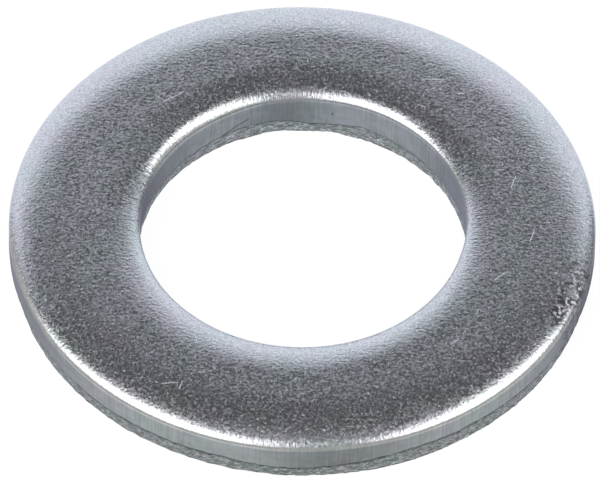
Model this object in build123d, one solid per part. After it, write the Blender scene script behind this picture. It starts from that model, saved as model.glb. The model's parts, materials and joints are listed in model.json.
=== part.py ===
from build123d import *
import os

# Flat washer, form A, for a 16 mm bolt, blanked and pierced from 3 mm steel strip.
# It is one piece of metal: a revolved ring whose axis is Z.
# All sizes are in millimetres. z = 0 is the underside, the face with the sharp edges.
# The rounded edges that face the bolt head or the nut are at z = THICKNESS.

OUTSIDE_DIAMETER = 30.0
BORE_DIAMETER = 17.0
THICKNESS = 3.0

# Roll-over: the soft rounding that the press leaves where punch and die enter the strip.
# Each one is a quarter ellipse, much wider across the face than it is deep down the wall.
OUTSIDE_ROLL_WIDTH = 2.85
OUTSIDE_ROLL_DEPTH = 0.72
BORE_ROLL_WIDTH = 2.2
BORE_ROLL_DEPTH = 0.5

# Fracture zone: below the smooth sheared land the metal tears and leans away from the tool,
# so the rim is a little smaller and the bore a little larger at the underside.
OUTSIDE_FRACTURE_HEIGHT = 1.1
OUTSIDE_FRACTURE_LEAN = 0.18
BORE_FRACTURE_HEIGHT = 0.8
BORE_FRACTURE_LEAN = 0.06

# The underside corners are broken by tumbling.
UNDERSIDE_CORNER_RADIUS = 0.1

OUTSIDE_RADIUS = OUTSIDE_DIAMETER / 2
BORE_RADIUS = BORE_DIAMETER / 2


def rolled_edge(wall_radius, roll_width, roll_depth, outward):
    """Quarter ellipse from the flat top face down to the wall at wall_radius."""
    centre_radius = wall_radius - outward * roll_width
    centre = (centre_radius, THICKNESS - roll_depth)
    first_angle = 0 if outward > 0 else 90
    return EllipticalCenterArc(
        centre,
        x_radius=roll_width,
        y_radius=roll_depth,
        start_angle=first_angle,
        arc_size=90,
    )


def underside_corner(corner_radius_from_axis, outward):
    """Small quarter circle between the underside and the foot of a wall."""
    centre = (
        corner_radius_from_axis - outward * UNDERSIDE_CORNER_RADIUS,
        UNDERSIDE_CORNER_RADIUS,
    )
    first_angle = 270 if outward > 0 else 180
    return CenterArc(centre, UNDERSIDE_CORNER_RADIUS, first_angle, 90)


def ring_section():
    """Closed section of the ring in the XZ plane, drawn from the axis outwards."""
    outside_foot_radius = OUTSIDE_RADIUS - OUTSIDE_FRACTURE_LEAN
    bore_foot_radius = BORE_RADIUS + BORE_FRACTURE_LEAN
    outside_roll = rolled_edge(OUTSIDE_RADIUS, OUTSIDE_ROLL_WIDTH, OUTSIDE_ROLL_DEPTH, 1)
    bore_roll = rolled_edge(BORE_RADIUS, BORE_ROLL_WIDTH, BORE_ROLL_DEPTH, -1)
    outside_corner = underside_corner(outside_foot_radius, 1)
    bore_corner = underside_corner(bore_foot_radius, -1)
    outside_tear_line = (OUTSIDE_RADIUS, OUTSIDE_FRACTURE_HEIGHT)
    bore_tear_line = (BORE_RADIUS, BORE_FRACTURE_HEIGHT)
    outline = [
        Line(bore_corner @ 1, outside_corner @ 0),
        outside_corner,
        Line(outside_corner @ 1, outside_tear_line),
        Line(outside_tear_line, outside_roll @ 0),
        outside_roll,
        Line(outside_roll @ 1, bore_roll @ 0),
        bore_roll,
        Line(bore_roll @ 1, bore_tear_line),
        Line(bore_tear_line, bore_corner @ 0),
        bore_corner,
    ]
    return Plane.XZ * make_face(Curve() + outline)


def washer():
    """The whole washer: the section turned once around the bolt axis."""
    return revolve(ring_section(), Axis.Z, 360)


PIECES = {
    "washer": washer,
}

os.makedirs("parts", exist_ok=True)
for name, build_piece in PIECES.items():
    export_step(build_piece(), f"parts/{name}.step")
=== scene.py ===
"""Looks of the flat washer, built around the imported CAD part.

The washer is one ring of metal, so one mesh piece stands for the one CAD node.
Sizes in the constants are millimetres unless the name says otherwise; Blender works in metres.
Angles round the washer are measured from +X towards +Y; 270 degrees faces the camera.
"""

import json
import math
from types import SimpleNamespace

import bpy
import numpy as np
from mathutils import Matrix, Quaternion, Vector, noise


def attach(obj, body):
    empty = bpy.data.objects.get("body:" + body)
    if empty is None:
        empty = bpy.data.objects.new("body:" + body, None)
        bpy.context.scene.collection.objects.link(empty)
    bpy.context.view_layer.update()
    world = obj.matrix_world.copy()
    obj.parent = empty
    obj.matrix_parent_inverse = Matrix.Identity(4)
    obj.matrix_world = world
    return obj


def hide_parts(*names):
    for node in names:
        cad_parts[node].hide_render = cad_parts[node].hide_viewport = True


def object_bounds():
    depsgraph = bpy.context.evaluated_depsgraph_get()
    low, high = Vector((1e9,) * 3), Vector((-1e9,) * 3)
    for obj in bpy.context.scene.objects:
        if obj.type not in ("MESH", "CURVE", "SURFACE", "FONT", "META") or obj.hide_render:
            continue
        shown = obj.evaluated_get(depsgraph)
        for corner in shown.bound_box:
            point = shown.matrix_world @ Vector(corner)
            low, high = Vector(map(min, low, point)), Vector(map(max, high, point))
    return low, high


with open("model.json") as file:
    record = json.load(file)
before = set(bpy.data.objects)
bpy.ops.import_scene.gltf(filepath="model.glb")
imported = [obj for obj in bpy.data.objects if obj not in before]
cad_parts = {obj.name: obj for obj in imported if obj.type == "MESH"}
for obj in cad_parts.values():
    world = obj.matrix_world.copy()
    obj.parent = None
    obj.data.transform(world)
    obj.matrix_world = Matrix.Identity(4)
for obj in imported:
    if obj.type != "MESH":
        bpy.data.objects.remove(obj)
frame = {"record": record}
cad_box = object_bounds()

MM = 0.001
mounts = {mount["name"]: mount for mount in frame["record"]["mounts"]}
RIM_RADIUS = min(cad_box[1].x - cad_box[0].x, cad_box[1].y - cad_box[0].y) / 2 / MM
THICKNESS = (cad_box[1].z - cad_box[0].z) / MM
BORE_RADIUS = mounts["bolt_bore"]["dims"]["r_mm"]

# ---------------------------------------------------------------- shape of the ring

# How finely the mesh is divided: steps round the washer, and rings across each part of its section.
STEPS_ROUND = 1260
BORE_TORN_RINGS = 12
BORE_ROLL_RINGS = 17
RIM_ROLL_RINGS = 13
RIM_TORN_RINGS = 14
LAND_PARTS = (0.03, 0.3, 0.6, 0.9)

# Levels given at angles round the washer, and joined by straight lines in between.
RIM_ROLL_WIDTH = {0: 2.9, 30: 2.75, 90: 2.75, 120: 2.7, 150: 2.55, 180: 2.75, 210: 3.0, 330: 3.0}
RIM_ROLL_DEPTH = 0.72
BORE_ROLL_WIDTH = {0: 2.05, 60: 2.4, 100: 2.4, 135: 2.3, 180: 2.2, 195: 2.45, 230: 2.45, 270: 2.2,
                   300: 2.0, 340: 2.0}
BORE_ROLL_DEPTH = {0: 0.4, 60: 0.56, 90: 0.62, 105: 0.64, 120: 0.72, 150: 0.72, 165: 0.6, 180: 0.5,
                   270: 0.48}
# At the back of the bore the roll is a shallow dish that ends in a tighter corner.
BORE_CORNER_SHARE = {25: 1.0, 60: 0.3, 105: 0.28, 125: 0.34, 150: 0.33, 178: 1.0}
BORE_DISH_DEPTH = {25: 0.0, 60: 0.24, 90: 0.31, 105: 0.30, 150: 0.18, 178: 0.0}
# There the bore is also a little narrower at its top than at its tear line.
BORE_TAPER = {105: 0.0, 120: 0.05, 150: 0.09, 168: 0.06, 182: 0.0}
BORE_OUT_OF_ROUND = {0: -0.09, 60: -0.06, 90: -0.06, 105: -0.07, 120: -0.13, 140: -0.16, 165: -0.19,
                     185: -0.19, 210: -0.11, 240: -0.08, 270: -0.10, 315: -0.15, 345: -0.15}
ROLL_VARIATION = 0.05

FACE_DISHING = 0.08
UNDERSIDE_LIFT = 0.03

RIM_TEAR_HEIGHT = {0: 1.0, 40: 1.15, 90: 0.9, 140: 1.1, 180: 1.05, 225: 1.1, 255: 1.12, 266: 0.85,
                   278: 0.98, 292: 1.2, 320: 1.25, 345: 1.05}
BORE_TEAR_HEIGHT = {0: 0.7, 45: 0.8, 70: 0.95, 80: 0.72, 88: 0.6, 96: 0.85, 112: 0.95, 125: 0.78,
                    150: 0.6, 200: 0.8, 270: 0.95, 320: 0.8}
TEAR_LINE_WANDER = 0.07
RIM_TEAR_LEAN = 0.18
BORE_TEAR_LEAN = 0.03
RIM_TEAR_STEP = 0.05
BORE_TEAR_STEP = 0.012
TEAR_ROUGHNESS = 0.05
TEAR_LUMP = 0.42
BURR_LEVEL = 0.035
BURR_HEIGHT = 0.09
BURR_HIGHEST = 0.12
FOOT_INSETS = (0.07, 0.16)


def noise_at(places, lump, seed, octaves=1):
    """Smooth seeded noise, about -1 to 1, at places (n, 3) in mm; lump is the width of one bump."""
    shift = Vector((31.7, -17.3, 11.9)) * seed
    return np.array([noise.fractal(Vector(p) / lump + shift, 0.7, 2.1, octaves) for p in places])


def round_noise(radius, lump, seed, octaves=1):
    """Noise along a circle of that radius, one value for each step round the washer."""
    places = np.stack([radius * np.cos(turn), radius * np.sin(turn), 0 * turn], axis=1)
    return noise_at(places, lump, seed, octaves)


def level_round(levels):
    """Levels given at a few angles, joined into one value for each step round the washer."""
    return np.interp(np.degrees(turn), list(levels), list(levels.values()), period=360)


def tear_line(heights, radius, seed):
    """Height of a tear line all round, with a ragged wander."""
    level = level_round(heights)
    ragged = round_noise(radius, 1.6, seed, 4) + 0.6 * round_noise(radius, 0.35, seed + 1, 2)
    return level + TEAR_LINE_WANDER * ragged


turn = np.linspace(0, 2 * math.pi, STEPS_ROUND, endpoint=False)


class Section:
    """The rings of vertices that make the washer, gathered in order round its section."""

    def __init__(self):
        self.radius = []
        self.height = []
        self.land = []
        self.torn = []
        # How much painted shade falls under the step at the top of a torn band.
        self.step_shade = []

    def ring(self, radius, height, land=0.0, torn=0.0, step_shade=0.0):
        for rows, value in (
            (self.radius, radius),
            (self.height, height),
            (self.land, land),
            (self.torn, torn),
            (self.step_shade, step_shade),
        ):
            rows.append(np.broadcast_to(value, turn.shape).astype(float))


def torn_wall(section, wall_radius, outward, tear_height, lean, step, rings, seed, upwards):
    """The broken lower part of a wall: rough, leaning away from the tool, with a step at its top."""
    fractions = np.linspace(0, 1, rings)
    if not upwards:
        fractions = fractions[::-1]
    burr = burr_height(wall_radius, seed)
    for part in fractions:
        height = burr + (tear_height - burr) * part
        step_in = step * min(1.0, (1 - part) * rings / 2)
        radius = wall_radius - outward * (lean * (1 - part) ** 1.3 + step_in)
        places = np.stack([radius * np.cos(turn), radius * np.sin(turn), height * 0.7], axis=1)
        rough = noise_at(places, TEAR_LUMP, seed, 4)
        fade = min(1.0, 3 * (1 - part)) * min(1.0, 4 * part + 0.3)
        radius = radius - outward * TEAR_ROUGHNESS * fade * (rough + 0.5)
        # The top of the torn band is marked for painted shade under the step.
        section.ring(radius, height, torn=1.0, step_shade=smooth(0.72, 0.92, part))


def burr_height(wall_radius, seed):
    """Height of the ragged foot of a wall, never under the CAD underside."""
    ragged = round_noise(wall_radius, 0.9, seed + 5, 3)
    return np.clip(BURR_LEVEL - BURR_HEIGHT * ragged, 0.0, BURR_HIGHEST)


def roll(section, wall_radius, outward, width, depth, rings, towards_wall, corner=1.0, dish=0.0):
    """Roll-over from the top face to a wall: a shallow dish, then a quarter-ellipse corner."""
    bends = np.linspace(0, math.pi / 2, rings)
    if not towards_wall:
        bends = bends[::-1]
    for bend in bends:
        inset = width * (1 - math.sin(bend))
        in_corner = np.clip(1 - inset / (width * corner), 0, 1)
        drop = dish * (1 - inset / width) ** 2 + (depth - dish) * (1 - np.sqrt(1 - in_corner**2))
        radius = wall_radius - outward * inset
        section.ring(radius, THICKNESS - drop - dishing(radius), land=smooth(1.2, 1.5, bend))


def dishing(radius):
    """The top face falls slightly from the bore to the rim."""
    return FACE_DISHING * (radius**2 - BORE_RADIUS**2) / RIM_RADIUS**2


def smooth(low, high, value):
    """0 up to low, 1 from high, and a smooth rise in between."""
    part = min(1.0, max(0.0, (value - low) / (high - low)))
    return part * part * (3 - 2 * part)


def ring_section():
    """All the rings, from the foot of the bore, over the top face, and back under the washer."""
    section = Section()
    rim_width = level_round(RIM_ROLL_WIDTH) * (1 + ROLL_VARIATION * round_noise(RIM_RADIUS, 6.0, 1))
    rim_depth = RIM_ROLL_DEPTH * (1 + ROLL_VARIATION * round_noise(RIM_RADIUS, 5.0, 2))
    bore = BORE_RADIUS + level_round(BORE_OUT_OF_ROUND)
    bore_width = level_round(BORE_ROLL_WIDTH) * (1 + ROLL_VARIATION * round_noise(BORE_RADIUS, 4.0, 3))
    bore_depth = level_round(BORE_ROLL_DEPTH) * (1 + ROLL_VARIATION * round_noise(BORE_RADIUS, 4.0, 4))
    rim_tear = tear_line(RIM_TEAR_HEIGHT, RIM_RADIUS, 5)
    bore_tear = tear_line(BORE_TEAR_HEIGHT, BORE_RADIUS, 8)
    rim_foot = RIM_RADIUS - RIM_TEAR_LEAN
    bore_foot = bore + BORE_TEAR_LEAN

    torn_wall(
        section, bore, -1, bore_tear, BORE_TEAR_LEAN, BORE_TEAR_STEP, BORE_TORN_RINGS, seed=21,
        upwards=True,
    )
    bore_top = THICKNESS - bore_depth
    taper = level_round(BORE_TAPER)
    for part in LAND_PARTS:
        section.ring(bore - taper * part, bore_tear + (bore_top - bore_tear) * part, land=1.0)
    bore = bore - taper
    roll(
        section, bore, -1, bore_width, bore_depth, BORE_ROLL_RINGS, towards_wall=False,
        corner=level_round(BORE_CORNER_SHARE), dish=level_round(BORE_DISH_DEPTH),
    )
    face_from = bore + bore_width
    face_to = RIM_RADIUS - rim_width
    for part in np.linspace(0, 1, 4)[1:-1]:
        radius = face_from + (face_to - face_from) * part
        section.ring(radius, THICKNESS - dishing(radius))
    roll(section, RIM_RADIUS, 1, rim_width, rim_depth, RIM_ROLL_RINGS, towards_wall=True)
    rim_top = THICKNESS - rim_depth - dishing(RIM_RADIUS)
    for part in reversed(LAND_PARTS):
        section.ring(RIM_RADIUS, rim_tear + (rim_top - rim_tear) * part, land=1.0)
    torn_wall(
        section, RIM_RADIUS, 1, rim_tear, RIM_TEAR_LEAN, RIM_TEAR_STEP, RIM_TORN_RINGS, seed=31,
        upwards=False,
    )
    for inset in FOOT_INSETS:
        section.ring(rim_foot - inset, UNDERSIDE_LIFT, torn=0.5)
    for part in np.linspace(0.1, 0.9, 6):
        section.ring(rim_foot + (bore_foot - rim_foot) * part, UNDERSIDE_LIFT)
    for inset in reversed(FOOT_INSETS):
        section.ring(bore_foot + inset, UNDERSIDE_LIFT, torn=0.5)
    return section


def build_washer():
    """The whole washer as one closed mesh of rings."""
    section = ring_section()
    radius = np.minimum(np.array(section.radius), RIM_RADIUS)
    height = np.array(section.height)
    rings = len(radius)
    x = radius * np.cos(turn)
    y = radius * np.sin(turn)
    vertices = np.stack([x, y, height], axis=2).reshape(-1, 3) * MM
    ring_index = np.arange(rings)[:, None] * STEPS_ROUND
    next_ring = np.roll(np.arange(rings), -1)[:, None] * STEPS_ROUND
    step = np.arange(STEPS_ROUND)[None, :]
    next_step = (step + 1) % STEPS_ROUND
    corners = (ring_index + step, ring_index + next_step, next_ring + next_step, next_ring + step)
    faces = np.stack(np.broadcast_arrays(*corners), axis=2).reshape(-1, 4)
    mesh = bpy.data.meshes.new("washer_metal")
    mesh.from_pydata(vertices.tolist(), [], faces.tolist())
    mesh.shade_smooth()
    # The last attribute marks painted shade under the step of each torn band.
    for name, values in (("land", section.land), ("torn", section.torn), ("step_shade", section.step_shade)):
        layer = mesh.attributes.new(name, "FLOAT", "POINT")
        layer.data.foreach_set("value", np.array(values).reshape(-1))
    piece = bpy.data.objects.new("washer_metal", mesh)
    bpy.context.scene.collection.objects.link(piece)
    return piece


# ---------------------------------------------------------------- material

ZINC = (0.615, 0.63, 0.655, 1)
ZINC_LAND = (0.535, 0.56, 0.575, 1)
ZINC_TORN = (0.57, 0.61, 0.63, 1)
GREENISH = (0.965, 1.0, 0.985, 1)
VIOLET = (1.015, 0.98, 1.01, 1)
# The bore is shaded more than the rim, and its torn band half as much as its land.
BORE_SHADE = (0.79, 0.80, 0.85, 1)
BORE_SHADE_ON_TORN = 0.5
# Painted shade under the step at the top of each torn band, and the share of it that the bore keeps.
PAINTED_STEP_SHADE = (0.40, 0.42, 0.46, 1)
BORE_STEP_SHADE = 0.1

# Textures: about how many lumps there are in a millimetre.
GRAIN_PER_MM = 6.8
STREAKS_PER_MM = 6.5
SWELLS_PER_MM = 1.1
FROST_PER_MM = 6.5
GLINTS_PER_MM = 8.5
SPECKS_PER_MM = 11.0
LINES_PER_MM = 9.0
LINE_DEPTHS_PER_MM = 0.3
SMEARS_PER_MM = 1.2
CRUMBS_PER_MM = 6.5
BLOTCHES_PER_MM = 3.5
TINTS_PER_MM = 0.5
BRUISE_PATCHES_PER_MM = 1.8
CHIPS_PER_MM = 5.0

# Relief of the textures. Streaks run outwards, and only near the two rolls.
GRAIN_HEIGHT = 0.013
SWELL_HEIGHT = 0.006
STREAK_HEIGHT = 0.014
STREAKS_FREE_RADIUS = 11.9
STREAKS_START = 2.2
STREAKS_FULL = 3.0
LINE_HEIGHT = 0.006
CRUMB_HEIGHT = 0.17

# Shades: what each texture multiplies the colour by, from its dark places to its light ones.
SPECK_SHADES = (0.76, 1.21)
LINE_SHADES = (0.86, 1.12)
SMEAR_SHADES = (0.93, 1.06)
BLOTCH_SHADES = (0.78, 1.3)
BRUISE_SHADES = (0.5, 1.15)
DARK_SCRATCH_SHADE = 0.6
BORE_MARK_SHADE = 0.35
SCRATCH_GLOSS = 1.3

FROST_ROUGHNESS = (0.09, 0.41)
GLINT_ROUGHNESS = 0.32
BRUISE_ROUGHNESS = (0.2, 0.6)
SCRATCH_ROUGHNESS = 0.62
WALL_ROUGHNESS = 0.24


class Nodes:
    """Short way to add nodes and joins to one node tree."""

    def __init__(self, tree):
        self.tree = tree
        tree.nodes.clear()

    def add(self, kind, settings=None, **inputs):
        node = self.tree.nodes.new(kind)
        for name, value in (settings or {}).items():
            setattr(node, name, value)
        for name, value in inputs.items():
            socket = self.socket(node, name)
            if isinstance(value, bpy.types.NodeSocket):
                self.tree.links.new(value, socket)
            else:
                socket.default_value = value
        return node

    def socket(self, node, name):
        if name.startswith("in") and name[2:].isdigit():
            return node.inputs[int(name[2:])]
        return node.inputs[name.replace("_", " ")]

    def math(self, operation, first, second=0.0, third=0.0):
        node = self.add("ShaderNodeMath", {"operation": operation}, in0=first, in1=second, in2=third)
        return node.outputs[0]

    def vector(self, operation, first, second=(0, 0, 0)):
        node = self.add("ShaderNodeVectorMath", {"operation": operation}, in0=first, in1=second)
        return node.outputs[1 if operation in ("DOT_PRODUCT", "DISTANCE", "LENGTH") else 0]

    def scale(self, value, amount):
        """A vector or a colour times one number."""
        return self.add("ShaderNodeVectorMath", {"operation": "SCALE"}, in0=value, Scale=amount).outputs[0]

    def mix(self, factor, first, second, blend="MIX"):
        """A colour between two colours, or one blended into the other."""
        node = self.add(
            "ShaderNodeMix", {"data_type": "RGBA", "blend_type": blend},
            in0=factor, in6=first, in7=second,
        )
        return node.outputs[2]

    def blend(self, factor, first, second):
        """A number between two numbers."""
        node = self.add("ShaderNodeMix", {"data_type": "FLOAT"}, in0=factor, in2=first, in3=second)
        return node.outputs[0]

    def noise(self, place, scale, detail=2.0, roughness=0.5, distortion=0.0):
        node = self.add(
            "ShaderNodeTexNoise", None, Vector=place, Scale=scale, Detail=detail,
            Roughness=roughness, Distortion=distortion,
        )
        return node.outputs[0]

    def attribute(self, name):
        return self.add("ShaderNodeAttribute", {"attribute_name": name}).outputs["Fac"]

    def steps(self, value, low, high, to_low=0.0, to_high=1.0):
        """A smooth rise from to_low at low to to_high at high."""
        node = self.add(
            "ShaderNodeMapRange", {"interpolation_type": "SMOOTHSTEP"},
            Value=value, in1=low, in2=high, in3=to_low, in4=to_high,
        )
        return node.outputs[0]


# Handling scratches, scattered over the top face from a seed.
SCRATCH_SEED = 11
SCRATCH_COUNT = 14
DARK_SCRATCH_COUNT = 2
SCRATCH_LENGTHS = (0.3, 1.3)
SCRATCH_RADII = (9.5, 13.5)
SCRATCH_HALF_WIDTH = 0.035
DARK_HALF_WIDTH = 0.055
# A pit and a drag mark on the bore wall, by angle in degrees and height.
PIT = ((80, 1.5), (80, 1.6))
DRAG_MARK = ((110, 1.5), (120, 0.9))
# A bruise where something struck the outer roll.
BRUISE = ((14.3, -2.9, 0), (13.2, -6.2, 0))
BRUISE_HALF_WIDTH = 1.0


def line_mark(nodes, place, start, end, half_width):
    """1 along a straight line from start to end, 0 away from it."""
    start = Vector(start)
    along = Vector(end) - start
    offset = nodes.vector("SUBTRACT", place, start)
    reach = nodes.vector("DOT_PRODUCT", offset, along / along.length_squared)
    reach = nodes.math("MINIMUM", nodes.math("MAXIMUM", reach, 0.0), 1.0)
    away = nodes.vector("DISTANCE", offset, nodes.scale(along, reach))
    return nodes.steps(away, half_width, 0.3 * half_width)


def scattered_scratches(count, seed):
    """Short straight lines at seeded places on the top face, each as its start and its end."""
    random = np.random.default_rng(seed)
    for _ in range(count):
        angle, heading = random.uniform(0, 2 * math.pi, 2)
        radius = random.uniform(*SCRATCH_RADII)
        length = random.uniform(*SCRATCH_LENGTHS)
        start = Vector((radius * math.cos(angle), radius * math.sin(angle), 0))
        yield start, start + length * Vector((math.cos(heading), math.sin(heading), 0))


def on_bore_wall(angle, height):
    """A point of the bore wall as if the wall were unrolled and laid flat."""
    return (math.radians(angle) * BORE_RADIUS, height, 0)


def whereabouts(nodes):
    """Where a point of the metal lies, in mm, and how far it belongs to each zone, from 0 to 1."""
    at = SimpleNamespace()
    at.place = nodes.scale(nodes.add("ShaderNodeTexCoord").outputs["Object"], 1 / MM)
    at.flat = nodes.vector("MULTIPLY", at.place, (1, 1, 0))
    at.radius = nodes.vector("LENGTH", at.flat)
    at.land = nodes.attribute("land")
    at.torn = nodes.attribute("torn")
    # How much painted shade falls under the step at the top of a torn band.
    at.step_shade = nodes.attribute("step_shade")
    face = nodes.math("SUBTRACT", nodes.math("SUBTRACT", 1.0, at.land), at.torn)
    at.face = nodes.math("MAXIMUM", face, 0.0)
    near_bore = nodes.steps(at.radius, BORE_RADIUS + 0.3, BORE_RADIUS + 0.05)
    at.in_bore = nodes.math("MULTIPLY", near_bore, nodes.math("SUBTRACT", 1.0, at.face))
    parts = nodes.add("ShaderNodeSeparateXYZ", None, Vector=at.place)
    angle = nodes.math("ARCTAN2", parts.outputs[1], parts.outputs[0])
    along_wall = nodes.math("MULTIPLY", angle, BORE_RADIUS)
    at.unrolled = nodes.add("ShaderNodeCombineXYZ", None, X=along_wall, Y=parts.outputs[2]).outputs[0]
    return at


def shared_textures(nodes, at):
    """Textures and marks that shape more than one of relief, colour and roughness."""
    of = SimpleNamespace()
    # Fine lines that the punch and die draw down the burnished walls.
    drawn = nodes.vector("MULTIPLY", at.place, (1, 1, 0.05))
    of.lines = nodes.noise(drawn, LINES_PER_MM, 1.0, 0.6)
    bruise = line_mark(nodes, at.flat, *BRUISE, BRUISE_HALF_WIDTH)
    patches = nodes.steps(nodes.noise(at.place, BRUISE_PATCHES_PER_MM, 2.0), 0.38, 0.55)
    of.bruise = nodes.math("MULTIPLY", bruise, patches)
    of.chips = nodes.steps(nodes.noise(at.place, CHIPS_PER_MM, 2.0), 0.5, 0.66)
    of.scratched = 0.0
    for start, end in scattered_scratches(SCRATCH_COUNT, SCRATCH_SEED):
        scratch = line_mark(nodes, at.flat, start, end, SCRATCH_HALF_WIDTH)
        of.scratched = nodes.math("MAXIMUM", of.scratched, scratch)
    return of


def zinc_relief(nodes, at, of):
    """Grain of the rolled strip on the faces, drawn lines on the lands, crumbs on the broken metal."""
    grain = nodes.noise(nodes.vector("MULTIPLY", at.place, (0.75, 1, 1)), GRAIN_PER_MM, 1.5, 0.5)
    grain_height = nodes.math("MULTIPLY", nodes.math("SUBTRACT", grain, 0.5), GRAIN_HEIGHT)
    swell = nodes.noise(at.place, SWELLS_PER_MM, 1.0)
    swell_height = nodes.math("MULTIPLY", swell, SWELL_HEIGHT)
    around = nodes.scale(nodes.vector("NORMALIZE", at.flat), RIM_RADIUS)
    rise = nodes.math("MULTIPLY", at.radius, 0.4)
    outwards = nodes.add("ShaderNodeCombineXYZ", None, Z=rise).outputs[0]
    streaks = nodes.noise(nodes.vector("ADD", around, outwards), STREAKS_PER_MM, 1.0)
    from_middle = nodes.math("ABSOLUTE", nodes.math("SUBTRACT", at.radius, STREAKS_FREE_RADIUS))
    streak_relief = nodes.steps(from_middle, STREAKS_START, STREAKS_FULL, 0.0, STREAK_HEIGHT)
    streak_height = nodes.math("MULTIPLY", streaks, streak_relief)
    line_height = nodes.math("MULTIPLY", of.lines, LINE_HEIGHT)
    crumbs = nodes.noise(at.place, CRUMBS_PER_MM, 3.0, 0.6)
    crumb_height = nodes.math("MULTIPLY", crumbs, CRUMB_HEIGHT)
    height = nodes.math("ADD", nodes.math("ADD", grain_height, swell_height), streak_height)
    height = nodes.math("MULTIPLY", height, at.face)
    height = nodes.math("MULTIPLY_ADD", line_height, at.land, height)
    height = nodes.math("MULTIPLY_ADD", crumb_height, at.torn, height)
    bump = nodes.add("ShaderNodeBump", None, Strength=1.0, Distance=MM, Height=height)
    return bump.outputs[0]


def zinc_colour(nodes, at, of):
    """Bluish zinc, specked on the faces, lined on the lands, blotched where it is torn, and darkened with
    painted shade under the step at the top of each torn band.
    """
    colour = nodes.mix(at.land, ZINC, ZINC_LAND)
    colour = nodes.mix(at.torn, colour, ZINC_TORN)
    shaded = nodes.math("MULTIPLY", at.in_bore, nodes.blend(at.torn, 1.0, BORE_SHADE_ON_TORN))
    colour = nodes.mix(shaded, colour, BORE_SHADE, "MULTIPLY")
    tint = nodes.steps(nodes.noise(at.place, TINTS_PER_MM, 3.0), 0.35, 0.65)
    colour = nodes.mix(1.0, colour, nodes.mix(tint, GREENISH, VIOLET), "MULTIPLY")
    speck = nodes.noise(nodes.vector("ADD", at.place, (0, 40, 0)), SPECKS_PER_MM, 1.0, 0.5)
    speck_shade = nodes.steps(speck, 0.2, 0.8, *SPECK_SHADES)
    colour = nodes.scale(colour, nodes.blend(at.face, 1.0, speck_shade))
    line_depth = nodes.steps(nodes.noise(at.flat, LINE_DEPTHS_PER_MM, 1.0), 0.4, 0.6, 0.2, 0.85)
    line_shade = nodes.blend(line_depth, 1.0, nodes.steps(of.lines, 0.3, 0.7, *LINE_SHADES))
    smear = nodes.noise(nodes.vector("MULTIPLY", at.place, (1, 1, 2)), SMEARS_PER_MM, 2.0, 0.6)
    line_shade = nodes.math("MULTIPLY", line_shade, nodes.steps(smear, 0.3, 0.7, *SMEAR_SHADES))
    colour = nodes.scale(colour, nodes.blend(at.land, 1.0, line_shade))
    blotch = nodes.noise(nodes.vector("ADD", at.place, (0, 0, 40)), BLOTCHES_PER_MM, 2.0)
    blotch = nodes.steps(blotch, 0.3, 0.7, *BLOTCH_SHADES)
    colour = nodes.scale(colour, nodes.blend(at.torn, 1.0, blotch))
    # Painted shade under the step at the top of the torn band, weaker in the bore and varied by the
    # blotches.
    step_shade = nodes.math("MULTIPLY", at.step_shade, nodes.blend(at.in_bore, 1.0, BORE_STEP_SHADE))
    step_shade = nodes.math("MULTIPLY", step_shade, nodes.steps(blotch, 1.25, 0.8, 0.55, 0.95))
    colour = nodes.mix(step_shade, colour, PAINTED_STEP_SHADE, "MULTIPLY")
    colour = nodes.scale(colour, nodes.blend(of.bruise, 1.0, nodes.blend(of.chips, *BRUISE_SHADES)))
    colour = nodes.scale(colour, nodes.blend(of.scratched, 1.0, SCRATCH_GLOSS))
    for start, end in scattered_scratches(DARK_SCRATCH_COUNT, SCRATCH_SEED + 1):
        mark = line_mark(nodes, at.flat, start, end, DARK_HALF_WIDTH)
        colour = nodes.scale(colour, nodes.blend(mark, 1.0, DARK_SCRATCH_SHADE))
    for start, end in (PIT, DRAG_MARK):
        mark = line_mark(nodes, at.unrolled, on_bore_wall(*start), on_bore_wall(*end), DARK_HALF_WIDTH)
        mark = nodes.math("MULTIPLY", mark, at.in_bore)
        colour = nodes.scale(colour, nodes.blend(mark, 1.0, BORE_MARK_SHADE))
    return colour


def zinc_roughness(nodes, at, of):
    """Frosted zinc with duller specks on the faces, and evenly burnished walls."""
    frost = nodes.noise(nodes.vector("ADD", at.place, (40, 0, 0)), FROST_PER_MM, 3.0, 0.6)
    rough = nodes.steps(frost, 0.15, 0.85, *FROST_ROUGHNESS)
    glint = nodes.noise(nodes.vector("ADD", at.place, (0, 0, 20)), GLINTS_PER_MM, 1.0, 0.5)
    rough = nodes.math("MULTIPLY_ADD", nodes.steps(glint, 0.58, 0.74), GLINT_ROUGHNESS, rough)
    rough = nodes.blend(of.bruise, rough, nodes.blend(of.chips, *BRUISE_ROUGHNESS))
    rough = nodes.blend(of.scratched, rough, SCRATCH_ROUGHNESS)
    rough = nodes.blend(at.land, rough, WALL_ROUGHNESS)
    return nodes.blend(at.torn, rough, WALL_ROUGHNESS)


def zinc_material():
    """Electroplated zinc: grainy on the faces, burnished on the walls and rough where it tore."""
    material = bpy.data.materials.new("zinc_plated_steel")
    material.use_nodes = True
    nodes = Nodes(material.node_tree)
    at = whereabouts(nodes)
    of = shared_textures(nodes, at)
    shader = nodes.add(
        "ShaderNodeBsdfPrincipled", None, Base_Color=zinc_colour(nodes, at, of), Metallic=1.0,
        Roughness=zinc_roughness(nodes, at, of), Normal=zinc_relief(nodes, at, of),
    )
    nodes.add("ShaderNodeOutputMaterial", None, Surface=shader.outputs[0])
    return material


# ---------------------------------------------------------------- stage: floor, light, camera

FLOOR_HALF_SIZE_METRES = 3.0
FLOOR_GLOW = 0.88
CAMERA_ELEVATION_DEGREES = 49.03
CAMERA_ROLL_DEGREES = 1.02
CAMERA_DISTANCE_METRES = 0.699
CAMERA_LENS = 819.5
CAMERA_TARGET = (-0.1, 0.0, 1.09)


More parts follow.
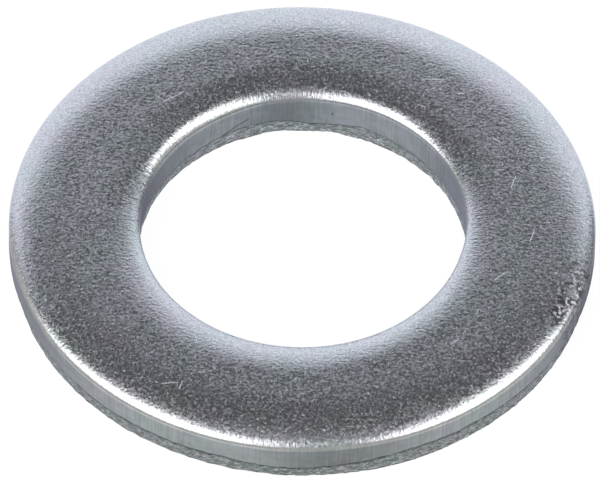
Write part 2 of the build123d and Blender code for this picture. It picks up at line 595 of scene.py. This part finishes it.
def pale_floor():
    """Plain pale paper under the washer, mostly self-lit, and left out of the metal's reflections."""
    mesh = bpy.data.meshes.new("floor")
    half = FLOOR_HALF_SIZE_METRES
    corners = [(-half, -half, 0), (half, -half, 0), (half, half, 0), (-half, half, 0)]
    mesh.from_pydata(corners, [], [(0, 1, 2, 3)])
    floor = bpy.data.objects.new("floor", mesh)
    bpy.context.scene.collection.objects.link(floor)
    paper = bpy.data.materials.new("paper")
    paper.use_nodes = True
    nodes = Nodes(paper.node_tree)
    shader = nodes.add(
        "ShaderNodeBsdfPrincipled", None, Base_Color=(0.15, 0.15, 0.15, 1), Roughness=0.9,
        Emission_Color=(1, 1, 1, 1), Emission_Strength=FLOOR_GLOW,
    )
    nodes.add("ShaderNodeOutputMaterial", None, Surface=shader.outputs[0])
    mesh.materials.append(paper)
    floor.visible_glossy = False


# The light tent: each patch of light is (middle azimuth, half width, lowest elevation,
# highest elevation, softness of its edges) in degrees, and then its colour.
DARK_BACK = (0.10, 0.10, 0.105, 1)
DIM_FRONT = (0.36, 0.36, 0.375, 1)
TOP_RIGHT = (0.22, 0.22, 0.23, 1)
TOP_LEFT = (0.36, 0.36, 0.38, 1)
BELOW_FRONT = (0.60, 0.62, 0.62, 1)
BELOW_BACK = (0.31, 0.31, 0.36, 1)
BACK_WALL = ((93, 47, -40, 41.5, 4.5), (1.01, 1.05, 1.135, 1))
LEFT_BACK = ((156, 15, -40, 38, 6), (0.42, 0.43, 0.45, 1))
RIGHT_BACK = ((32, 12, -40, 45, 6), (0.24, 0.24, 0.26, 1))
FRONT_WALL = ((262, 112, -25, 32, 6), (0.62, 0.60, 0.55, 1))
RIGHT_SOFTBOX = ((-18, 40, 28, 66, 6), (2.6, 2.6, 2.6, 1))
LEFT_SOFTBOX = ((213, 45, 28, 72, 5), (2.6, 2.6, 2.6, 1))
# The dark gap between the softboxes, across the picture, as the x of a direction.
GAP_MIDDLE = 0.165
GAP_HALF_WIDTH = 0.195
GAP_SOFTNESS = 0.05


def light_patch(nodes, x, y, elevation, azimuth, half_width, lowest, highest, softness):
    """1 where a direction looks into the patch, 0 outside."""
    centre = math.radians(azimuth)
    along = nodes.math("MULTIPLY_ADD", y, math.sin(centre), nodes.math("MULTIPLY", x, math.cos(centre)))
    across = nodes.math("MULTIPLY_ADD", y, math.cos(centre), nodes.math("MULTIPLY", x, -math.sin(centre)))
    away = nodes.math("ABSOLUTE", nodes.math("ARCTAN2", across, along))
    soft = math.radians(softness)
    half = math.radians(half_width)
    inside = nodes.steps(away, half + soft, half - soft)
    over = nodes.steps(elevation, math.radians(lowest) - soft, math.radians(lowest) + soft)
    under = nodes.steps(elevation, math.radians(highest) + soft, math.radians(highest) - soft)
    return nodes.math("MULTIPLY", nodes.math("MULTIPLY", inside, over), under)


def studio_light():
    """Light tent: bright pale back wall, dim top, and two large softboxes over the front."""
    world = bpy.data.worlds.new("studio")
    bpy.context.scene.world = world
    world.use_nodes = True
    nodes = Nodes(world.node_tree)
    direction = nodes.add("ShaderNodeTexCoord").outputs["Generated"]
    parts = nodes.add("ShaderNodeSeparateXYZ", None, Vector=direction)
    x = parts.outputs[0]
    y = parts.outputs[1]
    z = parts.outputs[2]
    elevation = nodes.math("ARCSINE", z)
    top = nodes.mix(nodes.steps(x, -0.25, 0.1), TOP_LEFT, TOP_RIGHT)
    upper = nodes.mix(nodes.steps(y, -0.35, 0.05), DIM_FRONT, DARK_BACK)
    upper = nodes.mix(nodes.steps(z, 0.96, 1.0), upper, top)
    lower = nodes.mix(nodes.steps(y, -0.3, 0.7), BELOW_FRONT, BELOW_BACK)
    lower = nodes.scale(lower, nodes.steps(z, -1.1, 0.0, 0.25, 2.0))
    from_gap = nodes.math("ABSOLUTE", nodes.math("SUBTRACT", x, GAP_MIDDLE))
    lower = nodes.scale(lower, nodes.steps(from_gap, 0.05, 0.45, 0.9, 1.5))
    sky = nodes.mix(nodes.steps(z, -0.12, 0.02), lower, upper)
    for outline, colour in (BACK_WALL, LEFT_BACK, RIGHT_BACK, FRONT_WALL):
        sky = nodes.mix(light_patch(nodes, x, y, elevation, *outline), sky, colour)
    beside_gap = nodes.steps(from_gap, GAP_HALF_WIDTH - GAP_SOFTNESS, GAP_HALF_WIDTH + GAP_SOFTNESS)
    for outline, colour in (RIGHT_SOFTBOX, LEFT_SOFTBOX):
        lit = nodes.math("MULTIPLY", light_patch(nodes, x, y, elevation, *outline), beside_gap)
        sky = nodes.mix(lit, sky, colour)
    background = nodes.add("ShaderNodeBackground", None, Color=sky, Strength=1.0)
    nodes.add("ShaderNodeOutputWorld", None, Surface=background.outputs[0])


def photo_camera():
    """Long lens looking down at the washer from the front."""
    data = bpy.data.cameras.new("camera")
    camera = bpy.data.objects.new("camera", data)
    bpy.context.scene.collection.objects.link(camera)
    elevation = math.radians(CAMERA_ELEVATION_DEGREES)
    back = Vector((0, -math.cos(elevation), math.sin(elevation)))
    camera.location = Vector(CAMERA_TARGET) * MM + back * CAMERA_DISTANCE_METRES
    rolled = Quaternion((0, 0, 1), math.radians(CAMERA_ROLL_DEGREES))
    camera.rotation_mode = "QUATERNION"
    camera.rotation_quaternion = (-back).to_track_quat("-Z", "Y") @ rolled
    data.lens = CAMERA_LENS
    data.clip_start = 0.05
    data.clip_end = 10
    bpy.context.scene.camera = camera


washer = build_washer()
washer.data.materials.append(zinc_material())
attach(washer, "root")
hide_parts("washer")
pale_floor()
studio_light()
photo_camera()
bpy.context.scene.view_settings.view_transform = "Standard"
